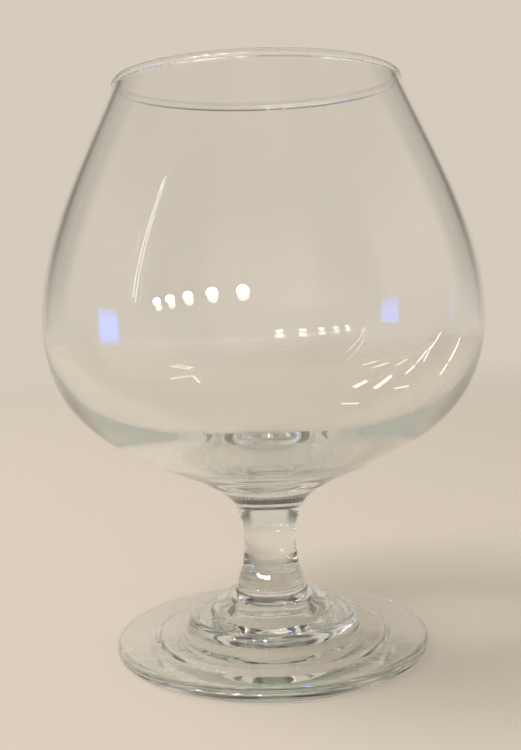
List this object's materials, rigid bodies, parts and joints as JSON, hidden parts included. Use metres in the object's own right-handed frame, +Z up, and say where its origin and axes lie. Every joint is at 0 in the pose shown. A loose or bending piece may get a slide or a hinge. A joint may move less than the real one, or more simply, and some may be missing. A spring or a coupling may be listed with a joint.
{
  "type": "brandy snifter",
  "caption": "Clear stemmed drinking glass: a wide round bowl drawn in to a narrow mouth, on a short waisted stem and a stepped round foot.",
  "frame": {"origin": "on the axis, in the plane of the ring that the glass rests on", "axes": "+Z up the axis to the mouth; the form is turned, so X and Y are any two level directions at right angles"},
  "size_m": [0.1036, 0.1036, 0.135],
  "materials": {
    "bowl_glass": "clear blown glass, fire polished",
    "stem_glass": "clear solid glass, fire polished",
    "foot_glass": "clear pressed glass, fire polished, worn on the ring that it rests on"
  },
  "bodies": {
    "root": {"bowl": "bowl_glass", "stem": "stem_glass", "foot": "foot_glass"}
  },
  "joints": []
}
